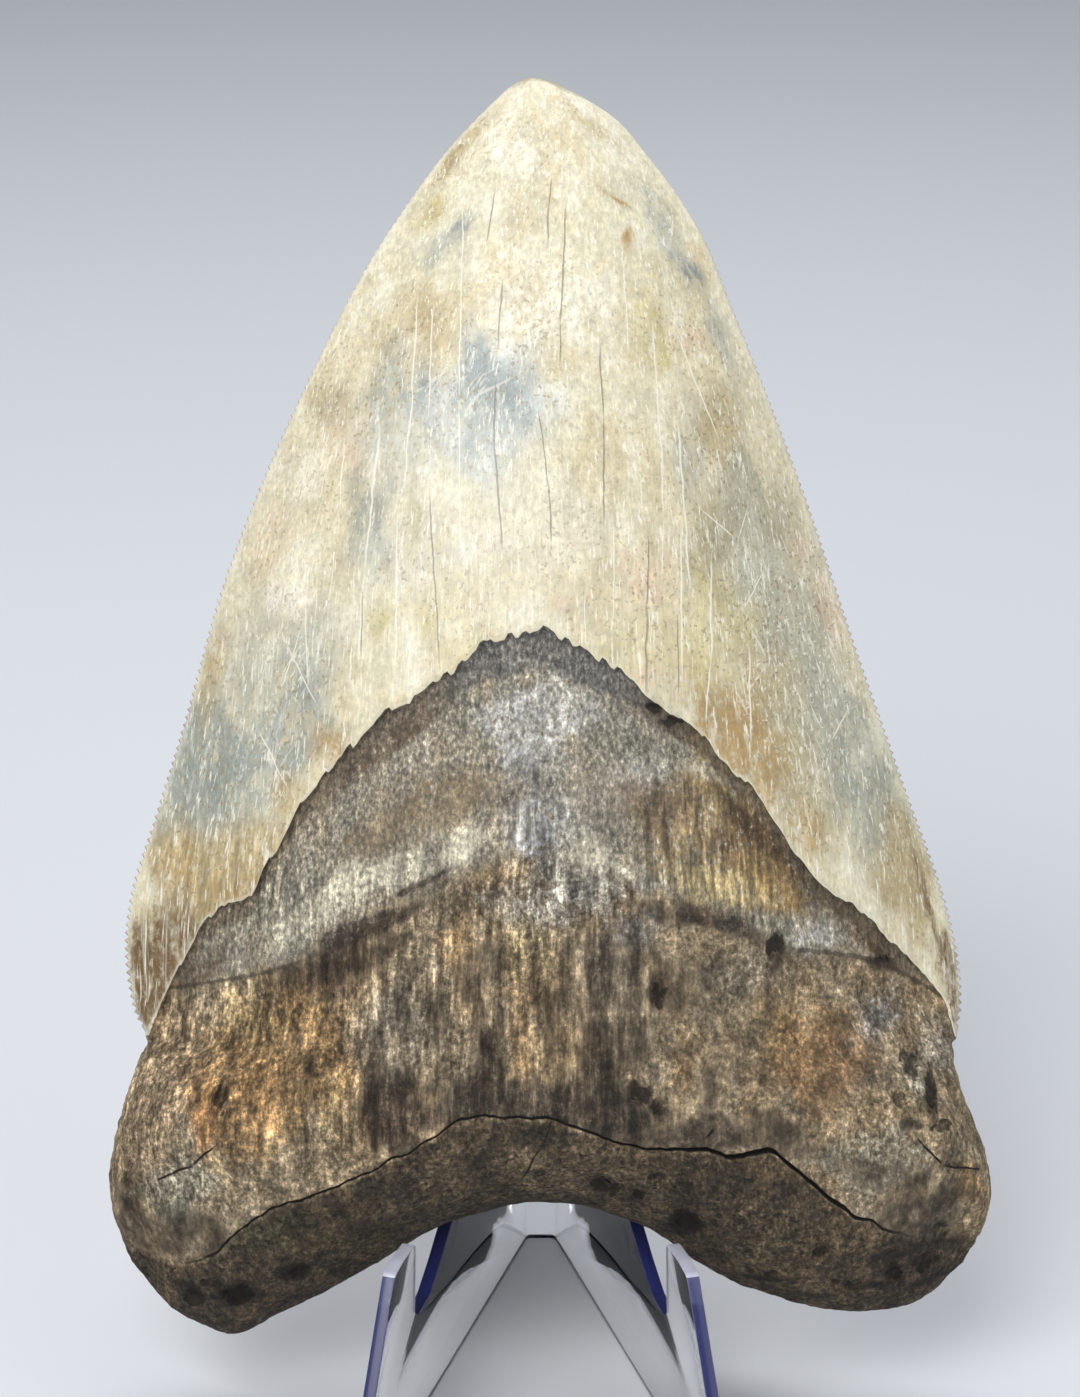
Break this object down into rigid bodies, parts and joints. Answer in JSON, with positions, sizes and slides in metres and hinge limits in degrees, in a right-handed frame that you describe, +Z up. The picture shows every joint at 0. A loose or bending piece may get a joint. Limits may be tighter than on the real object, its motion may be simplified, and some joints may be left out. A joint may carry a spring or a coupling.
{
  "type": "megalodon tooth on a display stand",
  "caption": "Large fossil megalodon tooth with a pale serrated crown and a brown root, leaning in a clear bent acrylic easel.",
  "frame": {"origin": "middle of the assembly's footprint, on the surface that it stands on", "axes": "+Z up, +X to the tooth's right as seen from the front, -Y towards the viewer, the way the tongue side of the tooth faces"},
  "size_m": [0.1066, 0.0858, 0.1482],
  "materials": {
    "fossil_tooth": "glossy fossil enamel over rough mineralised root",
    "clear_acrylic": "polished clear"
  },
  "bodies": {
    "root": {"tooth": "fossil_tooth", "stand": "clear_acrylic"}
  },
  "joints": []
}
